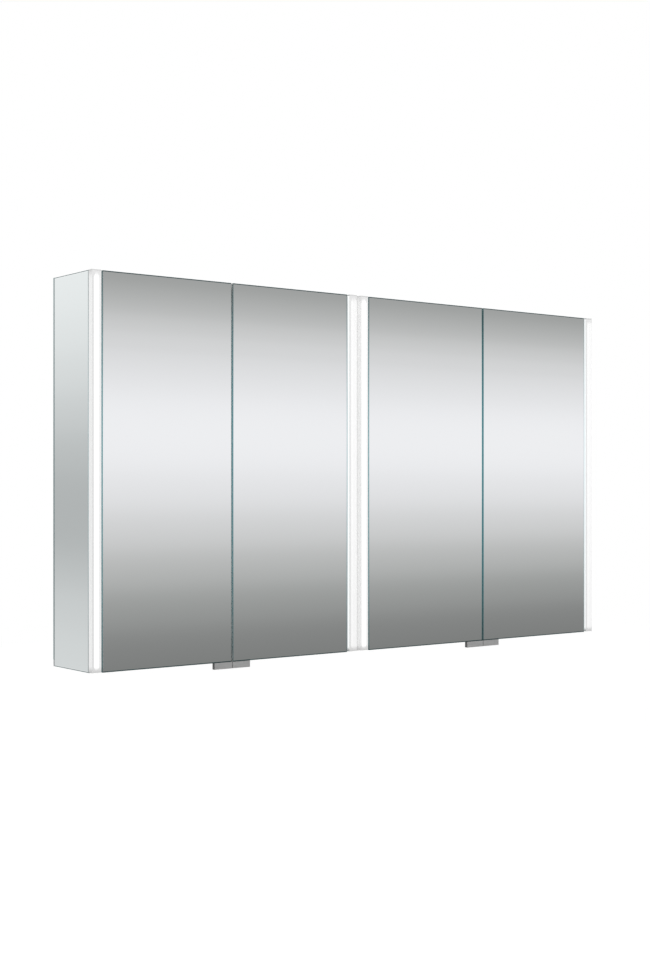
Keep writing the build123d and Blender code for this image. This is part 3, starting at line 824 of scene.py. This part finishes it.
def pan_head_screws():
    """Hinge screws with domed heads and cross recesses, in the walls of the bays."""
    mesh = bmesh.new()
    for points in solids("hinge_screws"):
        low, high = corners(points)
        middle = (low + high) / 2
        length = high.x - low.x
        head_radius = (high.z - low.z) / 2
        rim_point = max(points, key=lambda point: (point - middle).yz.length)
        inward = 1 if rim_point.x > middle.x else -1
        axis = Vector((inward, 0, 0))
        tip = Vector((low.x if inward > 0 else high.x, middle.y, middle.z))
        profile = [
            (0, 0),
            (screw_tip_radius, screw_tip_height),
            (screw_shank_radius, screw_point_height),
            (screw_shank_radius, length - screw_head_height),
            (head_radius, length - screw_head_height),
        ]
        profile += [(share * head_radius, length - below * screw_head_height) for share, below in screw_dome]
        rings = turned(mesh, profile, tip, axis)
        cross_recess(mesh, rings[-1], tip, axis, length, recess_reach_share * head_radius)
    piece("hinge_screw_heads", mesh, nickel, "hinge_steel", "cabinet", "hinge_screws")


def turned_arm_pins():
    """Pins of the hinge arms, with their ends rounded over."""
    mesh = bmesh.new()
    for points in solids("hinge_arm_pins"):
        low, high = corners(points)
        radius = (high.x - low.x) / 2
        height = high.z - low.z
        rounding = pin_rounding_share * radius
        profile = (
            (0, 0),
            (pin_flat_share * radius, 0),
            (radius, rounding),
            (radius, height - rounding),
            (pin_flat_share * radius, height),
            (0, height),
        )
        base = Vector(((low.x + high.x) / 2, (low.y + high.y) / 2, low.z))
        turned(mesh, profile, base, Vector((0, 0, 1)), segments=20)
    piece("rounded_arm_pins", mesh, nickel, "hinge_steel", "cabinet", "hinge_arm_pins")


def collared_shelf_pins():
    """Shelf pins with a thin collar against the wall and a rounded nose under the glass."""
    walls = (
        (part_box("left_side_panel")[1].x, 1),
        (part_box("left_partition")[0].x, -1),
        (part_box("right_partition")[1].x, 1),
        (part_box("right_side_panel")[0].x, -1),
    )
    mesh = bmesh.new()
    for points in solids("shelf_pins"):
        low, high = corners(points)
        radius = (high.z - low.z) / 2
        wall_x, inward = [wall for wall in walls if low.x < wall[0] < high.x][0]
        buried = wall_x - low.x if inward > 0 else high.x - wall_x
        length = high.x - low.x
        chamfer = shelf_pin_chamfer_share * radius
        nose = shelf_pin_nose_share * radius
        profile = [
            (0, 0),
            (radius - chamfer, 0),
            (radius, chamfer),
            (radius, buried),
            (collar_radius, buried),
            (collar_radius, buried + collar_side_share * collar_thickness),
            (collar_face_share * collar_radius, buried + collar_thickness),
            (radius, buried + collar_thickness),
        ]
        profile += [(share * radius, length - below * nose) for share, below in shelf_pin_nose]
        profile.append((0, length))
        base = Vector((low.x if inward > 0 else high.x, (low.y + high.y) / 2, (low.z + high.z) / 2))
        turned(mesh, profile, base, Vector((inward, 0, 0)))
    piece("collared_shelf_pins", mesh, nickel, "hinge_steel", "cabinet", "shelf_pins")


def domed_bumpers():
    """Soft domes that the closed doors rest on."""
    mesh = bmesh.new()
    for points in solids("door_bumpers"):
        low, high = corners(points)
        radius = (high.x - low.x) / 2
        height = high.y - low.y
        angles = [dome_step * step for step in range(dome_steps)]
        dome = [(radius * cos(angle), height * sin(angle)) for angle in angles]
        profile = [(0, 0), *dome, (0, height)]
        base = Vector(((low.x + high.x) / 2, high.y, (low.z + high.z) / 2))
        turned(mesh, profile, base, Vector((0, -1, 0)))
    piece("domed_bumpers", mesh, bumper_plastic, "clear_rubber", "cabinet", "door_bumpers")


def ribbed_gland():
    """Rubber gland of the mains cable: rounded lip at the wall, ribbed nozzle inside."""
    low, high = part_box("cable_gland")
    flange_radius = (high.x - low.x) / 2
    depth = high.y - low.y
    nozzle_length = depth - gland_neck_length - gland_flange_thickness
    rib_foot_radius = gland_nozzle_radius - gland_rib_depth
    rib_pitch = nozzle_length / gland_rib_count
    ribs = []
    for step in range(gland_rib_count):
        foot = step * rib_pitch
        ribs.append((rib_foot_radius, foot))
        ribs += [(gland_nozzle_radius, foot + share * rib_pitch) for share in gland_rib_crest]
    groove_radius = gland_neck_radius - gland_lip_width
    profile = [
        (gland_bore_radius, 0),
        *ribs,
        (rib_foot_radius, nozzle_length),
        (flange_radius - gland_flange_rounding, nozzle_length),
        (flange_radius, nozzle_length + gland_flange_rounding),
        (flange_radius, depth - gland_neck_length),
        (gland_neck_radius, depth - gland_neck_length),
        (gland_neck_radius, depth),
        (groove_radius, depth),
        (groove_radius - gland_groove_width / 2, depth - gland_groove_depth),
        (groove_radius - gland_groove_width, depth),
        (gland_bore_radius + gland_mouth_rounding, depth),
        (gland_bore_radius, depth - gland_mouth_rounding),
    ]
    mesh = bmesh.new()
    base = Vector(((low.x + high.x) / 2, low.y, (low.z + high.z) / 2))
    turned(mesh, profile, base, Vector((0, 1, 0)), segments=48, bored=True)
    piece("ribbed_gland", mesh, gland_rubber, "black_rubber", "cabinet", "cable_gland")


def trim_foot_caps():
    """Plugs that close the notch under each rear trim, with rounded edges and a seam at the trim."""
    low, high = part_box("rear_edge_trims")
    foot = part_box("left_side_mirror")[0].z
    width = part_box("left_side_panel")[0].x - low.x
    levels = (
        (foot, cap_rounding),
        (foot + cap_foot_height, cap_inset),
        (low.z - cap_seam_foot, cap_inset),
        (low.z - cap_seam_top, cap_seam_inset),
    )
    front = low.y + cap_clearance
    mesh = bmesh.new()
    for outer_x, inward in ((low.x, 1), (high.x, -1)):
        far = outer_x + inward * (width - cap_clearance)
        rings = []
        for level, inset in levels:
            near, back = outer_x + inward * inset, high.y - inset
            outline = (
                (near, front + inset),
                (near + inward * inset, front),
                (far, front),
                (far, back),
                (near + inward * cap_rounding, back),
                (near, back - cap_rounding),
            )
            rings.append([mesh.verts.new((x, y, level)) for x, y in outline])
        for lower, upper in zip(rings, rings[1:]):
            band(mesh, lower, upper)
        mesh.faces.new(rings[0])
        mesh.faces.new(rings[-1])
    piece("trim_foot_caps", mesh, cap_plastic, "end_cap", "cabinet")


pan_head_screws()
turned_arm_pins()
collared_shelf_pins()
domed_bumpers()
ribbed_gland()
trim_foot_caps()


# ---- studio: world, floor, reflection cards, lamps ----
def lit_world():
    """White where it is seen directly, in gloss or through glass, and softer as a light."""
    world = bpy.data.worlds.new("studio")
    scene.world = world
    world.use_nodes = True
    tree = world.node_tree
    background = tree.nodes["Background"]
    background.inputs["Color"].default_value = (1, 1, 1, 1)
    strength = math_node(tree, "MULTIPLY_ADD", seen_directly(tree), 1.0 - world_light, world_light)
    tree.links.new(strength, background.inputs["Strength"])


def sheet_object(name, outline):
    """Flat rectangle through four corners."""
    mesh = bpy.data.meshes.new(name)
    mesh.from_pydata(outline, [], [(0, 1, 2, 3)])
    made = bpy.data.objects.new(name, mesh)
    scene.collection.objects.link(made)
    return made


def floor():
    """Pale floor that shows white to the camera and keeps a soft shadow."""
    signs = ((-1, -1), (1, -1), (1, 1), (-1, 1))
    ground = sheet_object("floor", [(x * floor_reach, y * floor_reach, floor_height) for x, y in signs])
    made, tree, shader = material("pale_floor")
    shader.inputs["Base Color"].default_value = (0.86, 0.86, 0.86, 1)
    shader.inputs["Roughness"].default_value = 0.9
    shader.inputs["Emission Color"].default_value = (1, 1, 1, 1)
    tree.links.new(product(tree, seen_directly(tree), floor_glow), shader.inputs["Emission Strength"])
    ground.data.materials.append(made)


def reflection_card(name, first_end, second_end, stops):
    """Upright card between two ends, shaded from its foot to its head.

    It shows in gloss and through glass alone: the camera doesn't see it directly, and it lights and shades
    nothing.
    """
    outline = [(*first_end, -card_half_height), (*second_end, -card_half_height),
               (*second_end, card_half_height), (*first_end, card_half_height)]
    card = sheet_object(name, outline)
    card.visible_camera = False
    card.visible_diffuse = False
    card.visible_volume_scatter = False
    card.visible_shadow = False
    made, tree = material(name)[:2]
    place = split(tree, surface_point(tree))
    share = math_node(tree, "MULTIPLY_ADD", place["Z"], 0.5 / card_half_height, 0.5)
    glow = tree.nodes.new("ShaderNodeEmission")
    tree.links.new(ramp(tree, share, stops, "CARDINAL"), glow.inputs["Color"])
    tree.links.new(glow.outputs[0], tree.nodes["Material Output"].inputs["Surface"])
    card.data.materials.append(made)


def card_stops(levels, camera_distance):
    """Ramp stops of a card that shows levels to the camera, which stands camera_distance from the mirror.

    levels hold a share of the doors' height and the colour that the mirror shows there.
    """
    spread = 1 + card_distance / camera_distance
    stops = []
    for share, colour in levels:
        seen_z = door_low.z + share * (door_high.z - door_low.z)
        card_z = camera_place.z + (seen_z - camera_place.z) * spread
        card_share = 0.5 + card_z * 0.5 / card_half_height
        stops.append((card_share, tuple(value / mirror_tint[1] for value in colour)))
    return stops


def area_lamp(name, place, target, diameter, energy):
    data = bpy.data.lights.new(name, "AREA")
    data.shape = "DISK"
    data.size = diameter
    data.energy = energy
    lamp = bpy.data.objects.new(name, data)
    lamp.location = place
    lamp.rotation_euler = (Vector(target) - Vector(place)).to_track_quat("-Z", "Y").to_euler()
    lamp.visible_glossy = False
    scene.collection.objects.link(lamp)


door_low, door_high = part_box("front_mirror_1")
left_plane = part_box("left_side_mirror")[0].x

# Share of the doors' height, and display level there
front_levels = (
    (-0.1, 124), (0.0, 126), (0.1, 142), (0.2, 168), (0.3, 195), (0.4, 217), (0.5, 232),
    (0.6, 238), (0.7, 232), (0.8, 217), (0.85, 207), (0.9, 191), (0.98, 164), (1.1, 150),
)
side_levels = (
    (-0.1, 212), (0.0, 210), (0.1, 205), (0.2, 196), (0.3, 182), (0.4, 177), (0.5, 182),
    (0.6, 194), (0.7, 208), (0.8, 219), (0.9, 227), (1.0, 232), (1.1, 234),
)

lit_world()
floor()
card_y = door_low.y - card_distance
reflection_card(
    "front_card",
    (-front_card_half_width, card_y),
    (front_card_half_width, card_y),
    card_stops([(share, silver(level)) for share, level in front_levels], door_low.y - camera_place.y),
)
side_colours = [(share, display(level, level + 3, level + 3)) for share, level in side_levels]
for name, side in (("left_card", -1), ("right_card", 1)):
    card_x = side * (abs(left_plane) + card_distance)
    reflection_card(
        name,
        (card_x, side_card_near),
        (card_x, side_card_far),
        card_stops(side_colours, left_plane - camera_place.x),
    )
for lamp in lamps:
    area_lamp(*lamp)


def camera():
    data = bpy.data.cameras.new("camera")
    data.lens = lens_mm
    data.sensor_width = sensor_mm
    made = bpy.data.objects.new("camera", data)
    made.location = camera_place
    made.rotation_euler = (radians(90), 0, camera_turn)
    scene.collection.objects.link(made)
    scene.camera = made


camera()
scene.view_settings.view_transform = "Standard"
